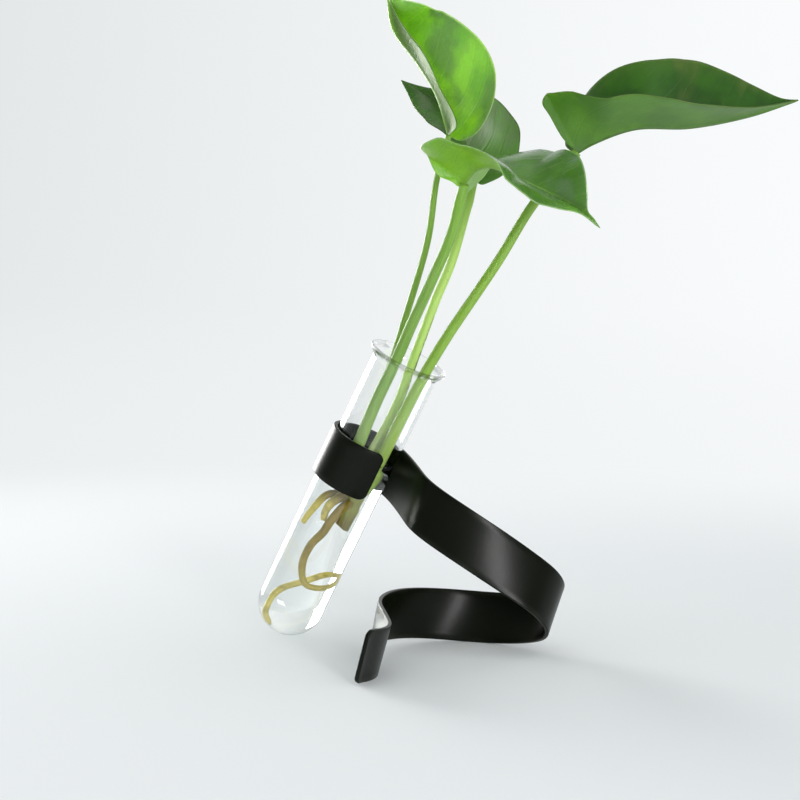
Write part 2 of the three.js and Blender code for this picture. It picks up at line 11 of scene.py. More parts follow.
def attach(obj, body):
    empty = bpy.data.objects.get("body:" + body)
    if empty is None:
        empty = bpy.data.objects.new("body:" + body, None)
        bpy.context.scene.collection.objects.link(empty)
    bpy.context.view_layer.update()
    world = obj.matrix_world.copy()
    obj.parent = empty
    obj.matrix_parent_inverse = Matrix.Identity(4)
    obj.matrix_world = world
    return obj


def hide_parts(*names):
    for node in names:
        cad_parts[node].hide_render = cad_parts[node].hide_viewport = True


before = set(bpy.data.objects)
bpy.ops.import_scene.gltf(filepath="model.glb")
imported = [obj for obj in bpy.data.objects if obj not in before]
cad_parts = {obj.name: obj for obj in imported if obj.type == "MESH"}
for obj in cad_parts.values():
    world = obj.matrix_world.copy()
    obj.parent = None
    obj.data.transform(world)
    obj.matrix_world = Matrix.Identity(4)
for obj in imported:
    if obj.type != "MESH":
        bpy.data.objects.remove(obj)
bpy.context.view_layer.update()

MM = 0.001

# How far the tube leans, and the centre of its round bottom in the vase
LEAN_RIGHT = 24
LEAN_FORWARD = 10
TUBE_FOOT = np.array([-81.984, 36.715, 12.5])
RING_RISE = 60.201

TUBE_DIAMETER = 25
GLASS_WALL = 1.2
RIM_RISE = 103.5
LIP_OVERHANG = 2.3
LIP_HEIGHT = 4.5
WATER_LEVEL = 65
WATER_INTO_GLASS = 0.06
WATER_CLIMB = 1.5
CLIMB_REACH = 0.9

STRIP_WIDTH = 19
STRIP_THICKNESS = 1.5
STRIP_END_RADIUS = 3
STRIP_EDGE_RADIUS = 0.42
RING_CLEARANCE = 0.4
RING_START = -58
RING_END = -307
BEND_EASING = 4

# How far apart the strip's stations are. Near its ends all are kept, and one in
# four between them.
STATION_GAP = 0.25
KEPT_EVERY = 4
FINE_END = 4

STEM_DIAMETERS = (4.3, 6.1)
LEAF_HALF_THICKNESS = 0.28
RIB_HALF_WIDTH = 1.3
RIB_ABOVE = 0.25
RIB_BELOW = 0.55
MARGIN_ROUNDING = 0.12
SIDE_VEIN_GAP = 6.4
FINE_VEIN_GAP = 1.7

# The camera's tilt and roll in degrees, and its place from the tube's foot
CAMERA_TILT = 5.16
CAMERA_ROLL = 1.35
CAMERA_FROM_TUBE = (38.6, -811.0, 149.7)
LENS_LENGTH = 99
SENSOR_WIDTH = 36

# The strip's bends after its ring: length, turn to the left, twist of its width
BENDS = [
    (14, -25, 3), (14, -4, 0), (16, 47, -14), (18, 18, -10), (22, 9, -15), (16, 54, -11), (14, 61, -10),
    (20, 26, -15), (24, 39, -17.5), (24, 46, -6), (22, 31, 0), (20, -3, -4), (16, -41, -1), (7, 13, 2),
]

# The plant's points are [across, away, along] from the centre of the tube's
# round bottom: across to the right, away to the back, along up the tube.
STEM = [[3.3, 0.5, 35.8], [3.2, 0.5, 42], [2.6, 0.3, 49], [1.4, 0, 58]]
STUB = [[1.9, -0.6, 49.5], [-0.6, -2, 46], [-2.3, -2.8, 42.5], [-2.7, -3, 39], [-2.1, -2.8, 35.5]]
ROOT_LONG = [
    [2.6, -1.2, 46], [1.2, -4, 42.5], [-0.2, -5.4, 37], [-0.8, -5.6, 32], [-2.6, -5.8, 25.5],
    [-2.3, -6, 17.5], [1.2, -6, 11.2], [6.2, -5.2, 11.8], [9.4, -1.6, 14], [8.6, 2.6, 16.4],
    [5, 5.6, 15.2], [0.8, 6, 9], [-3.6, 4.6, 2.4], [-5, 3, -3], [-4.6, 2, -6.6], [-2.2, 1, -8.4],
]
ROOT_SIDE = [[1.6, 0.6, 49.5], [-1.4, 0.4, 46.9], [-4.2, -0.6, 44.2], [-6, -1.2, 38.5], [-7.4, -1.2, 30.6]]
PETIOLES = {
    1: [
        [1.4, 0.6, 51], [-0.8, 2.6, 56], [-2.6, 4, 62], [-3.3, 4.4, 69], [-4, 4.5, 82], [-5, 5.2, 99],
        [-7.2, 6.5, 114], [-12.1, 8, 144], [-18.7, 10, 165.5],
    ],
    2: [
        [1.9, 0, 50], [-0.9, -1.8, 55], [-2.6, -3.3, 61], [-3.2, -3.7, 70], [-3.9, -4, 84],
        [-4, -4.8, 103], [-4.5, -5.5, 114.5], [-4.9, -7, 132.3], [-5.8, -8.3, 152.2],
    ],
    3: [
        [2, 0.8, 52], [2.5, 2.6, 57], [2.8, 3.7, 63], [3.4, 4, 73], [3.6, 5.2, 86.5], [2.2, 7.5, 100.2],
        [0.7, 9.5, 116], [0, 12.5, 124.4], [-0.7, 18, 138.8], [-3.6, 23, 155.9],
    ],
    4: [
        [2.6, 0, 48], [4.6, -1.4, 53.5], [6.2, -2.4, 60], [6.7, -2.6, 68], [7, -2.4, 88.8],
        [7.6, -1.6, 102.1], [9, -0.6, 116.6], [13.8, 3.5, 148.6], [16.4, 7, 172],
    ],
}
PETIOLE_DIAMETERS = {1: (2.8, 2.2), 2: (4.6, 3.6), 3: (3.7, 3.4), 4: (4.4, 3.3)}

# Each leaf has the course of its midrib from stalk to tip, its length and half
# width, and for its left and right half, seen from above and looking to its tip,
# the directions that it points out in and its outline from the notch at the stalk
# to the tip, as [share of the length along, share of the half width outwards].
# evened is the share of its length over which those directions are evened out.
LEAVES = {
    1: dict(
        midrib=[
            [-21.4, 12, 181.1], [-31.5, 8, 192.5], [-42.3, 3, 200.2], [-55.2, -4, 208.2], [-61.2, -10, 218],
        ],
        length=59.3, half_width=24, evened=0.12,
        left=[
            [0.32, -0.95, -0.04], [0.34, -0.93, -0.04], [0.36, -0.92, -0.02],
            [0.58, -0.8, 0.13], [0.75, -0.66, 0.05],
        ],
        right=[[0.6, 0.2, 0.76], [0.6, 0.2, 0.76], [0.7, -0.1, 0.7]],
        left_outline=[
            [0, 0], [0.02, 0.12], [0.05, 0.3], [0.09, 0.52], [0.14, 0.76], [0.2, 0.93], [0.3, 1],
            [0.42, 0.98], [0.57, 0.87], [0.7, 0.67], [0.81, 0.41], [0.91, 0.16], [1, 0],
        ],
        right_outline=[
            [0, 0], [-0.045, 0.08], [-0.062, 0.2], [-0.05, 0.4], [0.008, 0.6], [0.087, 0.76], [0.18, 0.88],
            [0.25, 0.945], [0.33, 0.97], [0.42, 0.95], [0.53, 0.87], [0.66, 0.78], [0.79, 0.72],
            [0.92, 0.5], [1, 0],
        ],
    ),
    2: dict(
        midrib=[
            [-9.3, -9, 170.5], [-7.8, -9.5, 176.8], [-3.9, -11.5, 180.3], [1.8, -14, 181.2],
            [8.2, -17, 180.9], [17.1, -21, 181.6], [27.9, -26, 182.1], [38.5, -30, 179.9],
        ],
        length=58.9, half_width=22,
        left=[
            [0.3, 0.9, 0.1], [0.34, 0.9, 0.27], [0.33, 0.73, 0.6],
            [0.17, 0.5, 0.85], [0.06, 0, 1], [0, -0.4, 0.9],
        ],
        right=[
            [-0.92, -0.04, 0.37], [-0.78, -0.58, 0.2], [-0.52, -0.82, 0.22], [-0.4, -0.88, 0.25],
            [-0.39, -0.89, 0.22], [-0.4, -0.9, 0.03], [-0.41, -0.9, -0.07], [-0.41, -0.89, -0.19],
            [-0.4, -0.89, -0.2], [-0.35, -0.93, -0.05], [-0.34, -0.94, 0.05],
        ],
        left_outline=[
            [0, 0], [-0.05, 0.14], [-0.09, 0.38], [-0.05, 0.6], [0.06, 0.8], [0.18, 0.93], [0.32, 0.98],
            [0.45, 0.93], [0.56, 0.86], [0.65, 0.78], [0.75, 0.58], [0.83, 0.26], [0.88, 0.08],
            [0.94, 0.05], [1, 0],
        ],
        right_outline=[
            [0, 0], [-0.033, 0.06], [-0.035, 0.19], [-0.054, 0.4], [-0.042, 0.53], [-0.008, 0.7],
            [0.03, 0.86], [0.075, 1.03], [0.14, 1.05], [0.22, 1.06], [0.31, 1.06], [0.42, 1.03],
            [0.56, 0.9], [0.67, 0.8], [0.78, 0.5], [0.87, 0.12], [1, 0],
        ],
    ),
    3: dict(
        midrib=[
            [-6.3, 27, 168.9], [-10.7, 30, 174.5], [-19.1, 32, 181.7], [-31.9, 33, 187.2], [-45.8, 32, 189.2],
        ],
        length=47.1, half_width=20,
        left=[[-0.4, -0.75, 0.4], [-0.3, -0.88, 0.05], [-0.17, -0.93, -0.3], [-0.06, -0.5, -0.85]],
        right=[[0.75, 0.2, 0.64], [0.65, 0.25, 0.67], [0.6, 0.3, 0.7]],
        left_outline=[
            [0, 0], [-0.05, 0.14], [-0.08, 0.36], [-0.03, 0.56], [0.07, 0.72], [0.2, 0.84], [0.33, 0.92],
            [0.45, 0.95], [0.58, 0.87], [0.7, 0.67], [0.81, 0.41], [0.91, 0.16], [1, 0],
        ],
        right_outline=[
            [0, 0], [-0.06, 0.1], [-0.053, 0.275], [-0.021, 0.51], [0.05, 0.72], [0.123, 0.88], [0.19, 0.99],
            [0.26, 1.05], [0.34, 1.0], [0.44, 0.9], [0.54, 0.7], [0.65, 0.4], [0.76, 0.18], [0.86, 0.08],
            [1, 0],
        ],
    ),
    4: dict(
        midrib=[
            [22.4, 9, 195.6], [26.1, 10, 200.8], [37.2, 11, 211.7], [54.8, 11, 220.6],
            [71.8, 10, 233.2], [84.6, 9, 245.7],
        ],
        length=80.7, half_width=26,
        left=[[-0.48, 0.84, 0.21], [-0.5, 0.4, 0.78], [-0.52, 0.38, 0.77], [-0.56, 0.42, 0.71]],
        right=[
            [-0.77, -0.21, 0.6], [-0.4, -0.79, 0.47], [-0.27, -0.87, 0.42],
            [-0.27, -0.9, 0.34], [-0.29, -0.92, 0.26], [-0.3, -0.92, 0.26],
        ],
        left_outline=[
            [0, 0], [-0.02, 0.12], [-0.02, 0.3], [0.02, 0.5], [0.07, 0.7], [0.14, 0.84], [0.24, 0.92],
            [0.35, 0.96], [0.45, 0.99], [0.59, 0.92], [0.715, 0.7], [0.83, 0.41], [0.93, 0.11], [1, 0],
        ],
        right_outline=[
            [0, 0], [-0.027, 0.27], [-0.031, 0.64], [-0.034, 0.85], [0.004, 0.94], [0.045, 0.92],
            [0.12, 0.88], [0.2, 0.9], [0.29, 0.93], [0.42, 0.95], [0.57, 0.87], [0.7, 0.67],
            [0.81, 0.41], [0.91, 0.16], [1, 0],
        ],
    ),
}


def unit(vector):
    vector = np.asarray(vector, float)
    return vector / np.linalg.norm(vector)


ALONG = unit([math.tan(math.radians(LEAN_RIGHT)), -math.tan(math.radians(LEAN_FORWARD)), 1])
ACROSS = unit(np.cross([0, 1, 0], ALONG))
AWAY = np.cross(ALONG, ACROSS)
LEAN = np.array([ACROSS, AWAY, ALONG])


def from_tube(points):
    """Points in the leaning tube's own lengths, carried into the vase."""
    return np.asarray(points, float) @ LEAN + TUBE_FOOT


# Finishes


class Value:
    """A socket of a finish's nodes. Sums on it add Math nodes."""

    def __init__(self, finish, socket):
        self.finish, self.socket = finish, socket

    def maths(self, operation, *terms):
        return self.finish.node("Math", {"operation": operation}, dict(enumerate(terms)))

    def __add__(self, other):
        return self.maths("ADD", self, other)

    def __sub__(self, other):
        return self.maths("SUBTRACT", self, other)

    def __rsub__(self, other):
        return self.maths("SUBTRACT", other, self)

    def __mul__(self, other):
        return self.maths("MULTIPLY", self, other)

    def __truediv__(self, other):
        return self.maths("DIVIDE", self, other)

    def __mod__(self, other):
        return self.maths("FLOORED_MODULO", self, other)

    __radd__, __rmul__ = __add__, __mul__

    def size(self):
        return self.maths("ABSOLUTE", self)

    def wave(self):
        return self.maths("SINE", self)

    def larger(self, other):
        return self.maths("MAXIMUM", self, other)

    def stripes(self, gap, start):
        """Lines that lie a gap apart, each from start to the middle of its gap."""
        return ((self / gap) % 1.0 - 0.5).size().step(start, 0.5)

    def step(self, low, high, start=0.0, end=1.0):
        """Rises smoothly from start to end while the value goes from low to high."""
        return self.finish.node(
            "MapRange", {"interpolation_type": "SMOOTHSTEP"}, {0: self, 1: low, 2: high, 3: start, 4: end}
        )


class Finish:
    """The nodes of one surface of the vase, or of the studio round it."""

    def __init__(self, name, world=None):
        self.material = world or bpy.data.materials.new(name)
        self.material.use_nodes = True
        self.nodes, self.links = self.material.node_tree.nodes, self.material.node_tree.links
        self.skin = self.nodes["Background" if world else "Principled BSDF"]

    def node(self, kind, settings=None, inputs=None, output=0):
        """A node of a kind, its settings made first, then its sockets filled or linked."""
        made = self.nodes.new("ShaderNode" + kind)
        for key, setting in (settings or {}).items():
            setattr(made, key, setting)
        self.fill(made, inputs or {})
        return Value(self, made.outputs[output])

    def fill(self, node, inputs):
        for key, content in inputs.items():
            if isinstance(content, Value):
                self.links.new(content.socket, node.inputs[key])
            else:
                node.inputs[key].default_value = content

    def surface(self, **inputs):
        self.fill(self.skin, {key.replace("_", " "): content for key, content in inputs.items()})

    def mark(self, name):
        """A number stored on the mesh."""
        return self.node("Attribute", {"attribute_name": name}, output=2)

    def place(self):
        return self.node("TexCoord", output=3)

    def stretched(self, place, x, y, z):
        return self.node("Mapping", inputs={0: place, 3: (x, y, z)})

    def rays(self):
        """Whether light is seen by the camera, in a glossy surface and through glass."""
        return [self.node("LightPath", output=n) for n in (0, 3, 6)]

    def joined(self, x, y, z):
        return self.node("CombineXYZ", inputs={0: x, 1: y, 2: z})

    def cloud(self, place, scale, detail=2.0, roughness=0.5):
        return self.node(
            "TexNoise", {"normalize": True},
            {"Vector": place, "Scale": scale, "Detail": detail, "Roughness": roughness},
        )

    def cells(self, place, scale):
        return self.node("TexVoronoi", {"feature": "F1"}, {"Vector": place, "Scale": scale})

    def mixed(self, share, first, second):
        """One colour going over into another."""
        return self.node("Mix", {"data_type": "RGBA"}, {0: share, 6: first, 7: second}, output=2)

    def raised(self, height, depth, before=None):
        """A bump of that depth in metres where the height is 1."""
        inputs = {"Height": height, "Distance": depth, "Strength": 1.0}
        if before is not None:
            inputs["Normal"] = before
        return self.node("Bump", inputs=inputs)

    def give_way(self, share, other):
        """Shows another shader in place of the skin, as far as share says."""
        both = self.node("MixShader", inputs={0: share, 1: Value(self, self.skin.outputs[0]), 2: other})
        self.links.new(both.socket, self.nodes["Material Output"].inputs[0])


def tone(red, green, blue):
    """A screen colour, 0 to 255 each, as the light that it stands for."""
    shares = (red / 255, green / 255, blue / 255)
    return tuple(c / 12.92 if c <= 0.04045 else ((c + 0.055) / 1.055) ** 2.4 for c in shares) + (1.0,)


def powder_coat():
    finish = Finish("black_powder_coat")
    place = finish.place()
    grain = finish.cloud(place, 2600.0, 3.0, 0.6)
    orange_peel = finish.cloud(place, 620.0, 1.0)
    patches = finish.cloud(place, 45.0, 2.0)
    specks = finish.cells(place, 330.0).step(0.12, 0.05)
    worn = finish.mark("edge").step(0.8, 1.0) * patches.step(0.42, 0.7)
    colour = finish.mixed(patches, tone(5, 9, 1), tone(10, 15, 4))
    colour = finish.mixed(grain.step(0.62, 0.86, 0.0, 0.4), colour, tone(20, 25, 14))
    colour = finish.mixed(worn * 0.4, colour, tone(54, 58, 48))
    finish.surface(
        Base_Color=colour,
        Roughness=patches * 0.06 + grain * 0.08 + 0.23,
        Normal=finish.raised(specks, 0.00001, finish.raised(grain + orange_peel * 1.6, 0.000008)),
        Specular_IOR_Level=0.19,
    )
    return finish.material


def lit_through(finish):
    """Lets light fall through clear glass or water onto what it holds."""
    shadow, spread = (finish.node("LightPath", output=n) for n in (1, 2))
    finish.give_way(shadow + spread, finish.node("BsdfTransparent", inputs={0: (0.97, 0.98, 0.98, 1.0)}))


def tube_glass():
    finish = Finish("clear_glass")
    place = finish.place()
    smears = finish.cloud(finish.stretched(place, 1, 1, 0.3), 60.0, 3.0)
    drawn = finish.cloud(finish.stretched(place, 1, 1, 0.15), 90.0, 1.0)
    finish.surface(
        Base_Color=finish.mixed(smears, tone(255, 255, 255), tone(251, 254, 253)),
        Roughness=smears.step(0.55, 0.85, 0.0, 0.03),
        Normal=finish.raised(drawn, 0.00003),
        Alpha=1 - finish.mark("lip") * 0.62,
        Transmission_Weight=1.0,
        IOR=1.47,
    )
    lit_through(finish)
    return finish.material


def tube_water():
    finish = Finish("clear_water")
    place = finish.place()
    cloudy = finish.cloud(place, 50.0, 2.0)
    finish.surface(
        Base_Color=finish.mixed(cloudy, tone(255, 255, 255), tone(251, 254, 252)),
        Roughness=cloudy.step(0.6, 0.9, 0.0, 0.02),
        Normal=finish.raised(finish.cloud(place, 140.0, 1.0), 0.00001),
        Transmission_Weight=1.0,
        IOR=1.333,
    )
    lit_through(finish)
    return finish.material


def leaf_skin(
    name, upper, upper_bright, sheen_grey, under, vein, margin,
    roughness, edge=0.6, wax=0.3, left=None, veined=0.5,
):
    """A pothos leaf: upper and lower side, blotches, faint side veins, a margin, and
    grey patches painted on the upper side as sheen.
    edge is how much the margin shows, wax the coat of the upper side, left the
    darker tone painted on the left half as shade, and veined how deep the side veins are."""
    finish = Finish(name)
    place = finish.place()
    run, out, share, below = (finish.mark(n) for n in ("run", "out", "share", "under"))
    wander = finish.cloud(place, 120.0, 2.0)
    sideways = out.size()
    course = run - sideways * 0.62 - sideways * sideways * 0.011 + wander * 2.2
    side_vein = course.stripes(SIDE_VEIN_GAP, 0.4)
    fine_vein = course.stripes(FINE_VEIN_GAP, 0.3)
    midrib = sideways.step(1.0, 0.3)
    blotches = finish.cloud(place, 62.0, 3.0, 0.55)
    sheen_patches = finish.cloud(finish.stretched(place, 1, 1, 0.5), 85.0, 2.0)
    pores = finish.cloud(place, 1100.0, 2.0)
    top = finish.mixed(blotches.step(0.38, 0.62), upper, upper_bright)
    # Painted sheen: grey patches, and grey nearer the margin, stand in for light reflected off the upper side
    top = finish.mixed(sheen_patches.step(0.52, 0.7) * 0.8 + share.step(0.7, 1.0) * 0.35, top, sheen_grey)
    top = finish.mixed(side_vein * 0.1 + fine_vein * 0.04 + midrib * 0.35, top, vein)
    bottom = finish.mixed(blotches.step(0.35, 0.65) * 0.4, under, upper)
    bottom = finish.mixed(side_vein * 0.16 + fine_vein * 0.05 + midrib * 0.5, bottom, vein)
    colour = finish.mixed(below, top, bottom)
    colour = finish.mixed(pores.step(0.35, 0.8, 0.0, 0.14), colour, tone(44, 80, 26))
    colour = finish.mixed(share.step(0.965, 0.995) * edge, colour, margin)
    # Painted shade: a leaf given a left tone has its left half darkened toward it, and made rougher with less
    # coat
    shaded_half = out.step(0.2, 2.0) * (0.85 if left else 0.0)
    colour = finish.mixed(shaded_half, colour, left or upper)
    quilted = side_vein * -veined + fine_vein * (-0.3 * veined) + blotches * 0.9
    finish.surface(
        Base_Color=colour,
        Roughness=below * 0.12 + wander * 0.12 + roughness + shaded_half * 0.3,
        Normal=finish.raised(pores, 0.000008, finish.raised(quilted, 0.00016)),
        Coat_Weight=(1 - below) * wax * (1 - shaded_half) + 0.05,
        Coat_Roughness=0.16,
        Subsurface_Weight=0.4,
        Subsurface_Radius=(0.7, 1.0, 0.15),
        Subsurface_Scale=0.0016,
        Specular_IOR_Level=0.45,
    )
    return finish.material


def stalk_skin(name, foot, middle, head, seam=0.0):
    """A stalk, pale at its foot. seam is how much of a dried sheath line it has."""
    finish = Finish(name)
    place = finish.place()
    run, turn, share = (finish.mark(n) for n in ("run", "turn", "share"))
    fibres = finish.cloud(finish.joined(turn.wave() * 3.0, (turn + 1.57).wave() * 3.0, run * 0.03), 3.0, 3.0)
    flecks = finish.cells(place, 420.0).step(0.2, 0.08) * finish.cloud(place, 80.0).step(0.5, 0.62)
    colour = finish.mixed(share.step(0.0, 0.42), foot, middle)
    colour = finish.mixed(share.step(0.6, 1.0), colour, head)
    colour = finish.mixed(fibres.step(0.4, 0.7) * 0.4, colour, tone(176, 206, 120))
    colour = finish.mixed(flecks * 0.4, colour, tone(112, 104, 48))
    torn = finish.cloud(finish.joined(run * 0.2, turn, 0.0), 2.2, 3.0).step(0.42, 0.56)
    line = (turn - 2.7).size().step(0.42, 0.18) * share.step(0.12, 0.2) * share.step(0.62, 0.5)
    colour = finish.mixed(line * torn * seam, colour, tone(58, 44, 22))
    finish.surface(
        Base_Color=colour,
        Roughness=fibres * 0.14 + 0.36,
        Normal=finish.raised(fibres, 0.00016),
        Coat_Weight=0.06,
        Coat_Roughness=0.2,
        Subsurface_Weight=0.35,
        Subsurface_Radius=(0.8, 1.0, 0.3),
        Subsurface_Scale=0.002,
    )
    return finish.material


def root_skin():
    finish = Finish("root_skin")
    place = finish.place()
    share = finish.mark("share")
    bark = finish.cloud(place, 260.0, 3.0, 0.6)
    rings = finish.cloud(finish.stretched(place, 1, 1, 1.8), 700.0, 2.0)
    colour = finish.mixed(share.step(0.15, 0.75), tone(140, 118, 8), tone(216, 200, 104))
    colour = finish.mixed(bark.step(0.45, 0.75) * 0.5, colour, tone(104, 84, 12))
    finish.surface(
        Base_Color=colour,
        Roughness=bark * 0.2 + 0.4,
        Normal=finish.raised(bark + rings * 0.5, 0.00025),
        Subsurface_Weight=0.1,
        Subsurface_Radius=(0.6, 0.6, 0.3),
        Subsurface_Scale=0.001,
    )
    return finish.material


# Skins, smooth lines and stalks


def skin_piece(name, points, faces, marks, finish, body, node):
    """A smooth mesh piece in place of a node, riding on its body, with marks on its points."""
    mesh = bpy.data.meshes.new(name)
    mesh.from_pydata([tuple(p) for p in np.asarray(points) * MM], [], faces)
    for key, numbers in marks.items():
        mesh.attributes.new(key, "FLOAT", "POINT").data.foreach_set("value", np.asarray(numbers, np.float32))
    mesh.validate()
    mesh.polygons.foreach_set("use_smooth", [True] * len(mesh.polygons))
    obj = bpy.data.objects.new(name, mesh)
    bpy.context.scene.collection.objects.link(obj)
    mesh.materials.append(finish)
    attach(obj, body)
    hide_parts(node)


def wrapped(rows, around):
    """Faces that join rows of points, each a ring, into a skin closed at both ends."""
    faces = [
        (row + b, row + (b + 1) % around, row + around + (b + 1) % around, row + around + b)
        for row in range(0, (rows - 1) * around, around) for b in range(around)
    ]
    return faces + [tuple(range(around))[::-1], tuple(range((rows - 1) * around, rows * around))]


class Course:
    """A smooth line through points, read by its share from start to end. It is a
    centripetal Catmull-Rom spline, and with a length it is scaled to it."""

    def __init__(self, points, length=None):
        p = np.array(points, float)
        p = np.vstack([2 * p[0] - p[1], p, 2 * p[-1] - p[-2]])
        t = np.linspace(0, 1, 40, endpoint=False)[:, None]
        fine = []
        for a, b, c, d in zip(p, p[1:], p[2:], p[3:]):
            before, here, after = (np.linalg.norm(leg) ** 0.5 for leg in (b - a, c - b, d - c))
            leave = ((b - a) / before - (c - a) / (before + here) + (c - b) / here) * here
            arrive = ((c - b) / here - (d - b) / (here + after) + (d - c) / after) * here
            squared, cubed = 3 * (c - b) - 2 * leave - arrive, 2 * (b - c) + leave + arrive
            fine.append(b + leave * t + squared * t**2 + cubed * t**3)
        self.points = np.vstack(fine + [p[-2][None]])
        if length:
            grown = length / np.linalg.norm(np.diff(self.points, axis=0), axis=1).sum()
            self.points = (self.points - self.points[0]) * grown + self.points[0]
        steps = np.linalg.norm(np.diff(self.points, axis=0), axis=1)
        self.length = steps.sum()
        self.shares = np.concatenate([[0], np.cumsum(steps)]) / self.length

    def at(self, share):
        return np.array([np.interp(share, self.shares, self.points[:, k]) for k in range(3)])

    def heading(self, share):
        return unit(self.at(min(share + 0.01, 1)) - self.at(max(share - 0.01, 0)))


def stalk_piece(name, points, thickness, finish, node, rings, around, section=None, slant=None):
    """A round stalk or root along a smooth line. thickness gives its diameter at
    each share of its length, section its outline at each turn and share, and
    slant how far each point of a ring is moved along the line."""
    line = Course(points)
    shares = np.linspace(0, 1, rings)
    heading = line.heading(0)
    side = unit(np.cross(heading, [0.0, 1.0, 0.0]))
    out, turns, runs, share_marks = [], [], [], []
    for share in shares:
        centre, ahead = line.at(share), line.heading(share)
        side = unit(side - ahead * (side @ ahead))
        back = np.cross(ahead, side)
        for b in range(around):
            angle = 2 * math.pi * b / around
            radius = thickness(share) / 2 * (section(angle, share) if section else 1)
            spot = centre + (side * math.cos(angle) + back * math.sin(angle)) * radius
            out.append(spot + ahead * slant(angle, share) if slant else spot)
            turns.append(angle)
            runs.append(share * line.length)
            share_marks.append(share)
    marks = {"turn": turns, "run": runs, "share": share_marks}
    skin_piece(name, from_tube(out), wrapped(rings, around), marks, finish, "plant", node)


def eased(x, low, high):
    """Rises smoothly from 0 to 1 while x goes from low to high."""
    x = min(max((x - low) / (high - low), 0.0), 1.0)
    return x * x * (3 - 2 * x)


def swelling(share, middle, spread):
    """A soft swelling of a stalk, 1 at its middle."""
    return math.exp(-(((share - middle) / spread) ** 2))


# The holder


def strip_walk(step):
    """The strip's stations from its ring's free end, each how far, place, heading
    and width, and the strip's whole length."""
    radius = TUBE_DIAMETER / 2 + RING_CLEARANCE + STRIP_THICKNESS / 2
    stretches = [(math.radians(RING_START - RING_END) * radius, RING_END - RING_START, 0)] + BENDS
    total = sum(s[0] for s in stretches)

    def so_far(distance, key):
        """The degrees turned, for key 1, or twisted, for key 2, up to a distance."""
        made = 0.0
        for i, stretch in enumerate(stretches):
            if distance <= stretch[0] or i == len(stretches) - 1:
                return made + stretch[key] / stretch[0] * distance
            made += stretch[key]
            distance -= stretch[0]

    def rate(distance, key):
        """How fast it turns or twists there in radians, eased from bend to bend."""
        turned = so_far(distance + BEND_EASING, key) - so_far(distance - BEND_EASING, key)
        return math.radians(turned) / (2 * BEND_EASING)

    start = math.radians(RING_START)
    place = Vector((math.cos(start), math.sin(start), 0)) * radius
    forward = Vector((math.sin(start), -math.cos(start), 0))
    width = Vector((0, 0, 1))
    count = round(total / step)
    length = total / count
    stations = [(0.0, place.copy(), forward.copy(), width.copy())]
    for i in range(count):
        middle = (i + 0.5) * length
        turning = forward * rate(middle, 2) + width * rate(middle, 1)
        angle = turning.length * length
        halfway = Matrix.Rotation(angle / 2, 3, turning) @ forward
        spin = Matrix.Rotation(angle, 3, turning)
        forward, width = (spin @ forward).normalized(), (spin @ width).normalized()
        place = place + halfway * length
        stations.append(((i + 1) * length, place.copy(), forward.copy(), width.copy()))
    return stations, total


def taken_back(radius, to_end):
    """What a rounding of that radius adds to a half width near the strip's end, 0 or less."""
    return math.sqrt(max(radius**2 - max(radius - to_end, 0) ** 2, 0)) - radius


def strip_section(half, thin):
    """The strip's outline as [across, out, how near the edge]: rounded edges, with
    points across the wide faces."""
    corner = min(STRIP_EDGE_RADIUS, thin)
    outline = []
    for u_sign, v_sign, rising in ((1, -1, True), (-1, -1, False), (-1, 1, True), (1, 1, False)):
        for degrees in (5, 30, 60, 85) if rising else (85, 60, 30, 5):
            a = math.radians(degrees)
            u = u_sign * (half - corner + corner * math.cos(a))
            outline.append((u, v_sign * (thin - corner + corner * math.sin(a)), 1.0))
    faced = []
    before_faces = (3, 11)
    for k, (u, v, edge) in enumerate(outline):
        faced.append((u, v, edge))
        if k in before_faces:
            across = outline[(k + 1) % 16][0] - u
            faced += [(u + across * t, v, abs(2 * t - 1)) for t in (0.12, 0.3, 0.5, 0.7, 0.88)]
    return faced


def strip_holder():
    stations, total = strip_walk(STATION_GAP)
    rows, edges = [], []
    for i, (at, place, forward, width) in enumerate(stations):
        to_end = min(at, total - at)
        if to_end > FINE_END and i % KEPT_EVERY:
            continue
        half = STRIP_WIDTH / 2 + taken_back(STRIP_END_RADIUS, to_end)
        thin = STRIP_THICKNESS / 2 + taken_back(STRIP_EDGE_RADIUS, to_end)
        out = width.cross(forward)
        section = strip_section(half, thin)
        for u, v, edge in section:
            rows.append(place + width * u + out * v)
            edges.append(max(edge, 1 - to_end / STRIP_END_RADIUS))
    points = np.array([list(p) for p in rows]) @ LEAN + TUBE_FOOT + ALONG * RING_RISE
    points[:, 2] = np.maximum(points[:, 2], 0.0)
    skin_piece(
        "steel_strip", points, wrapped(len(rows) // len(section), len(section)), {"edge": edges},
        powder_coat(), "holder", "spiral_holder",
    )


# The glass and its water


def turned_points(profile, around):
    """Rings of points about the tube's axis from [radius, height] pairs."""
    angles = np.arange(around) * 2 * math.pi / around
    return [(r * math.cos(a), r * math.sin(a), h) for r, h in profile for a in angles]


def bowl(radius, steps):
    """The round bottom's profile, from just beside the axis up to the straight wall."""
    return [(radius * math.sin(a), -radius * math.cos(a)) for a in np.linspace(0.02, math.pi / 2, steps)]


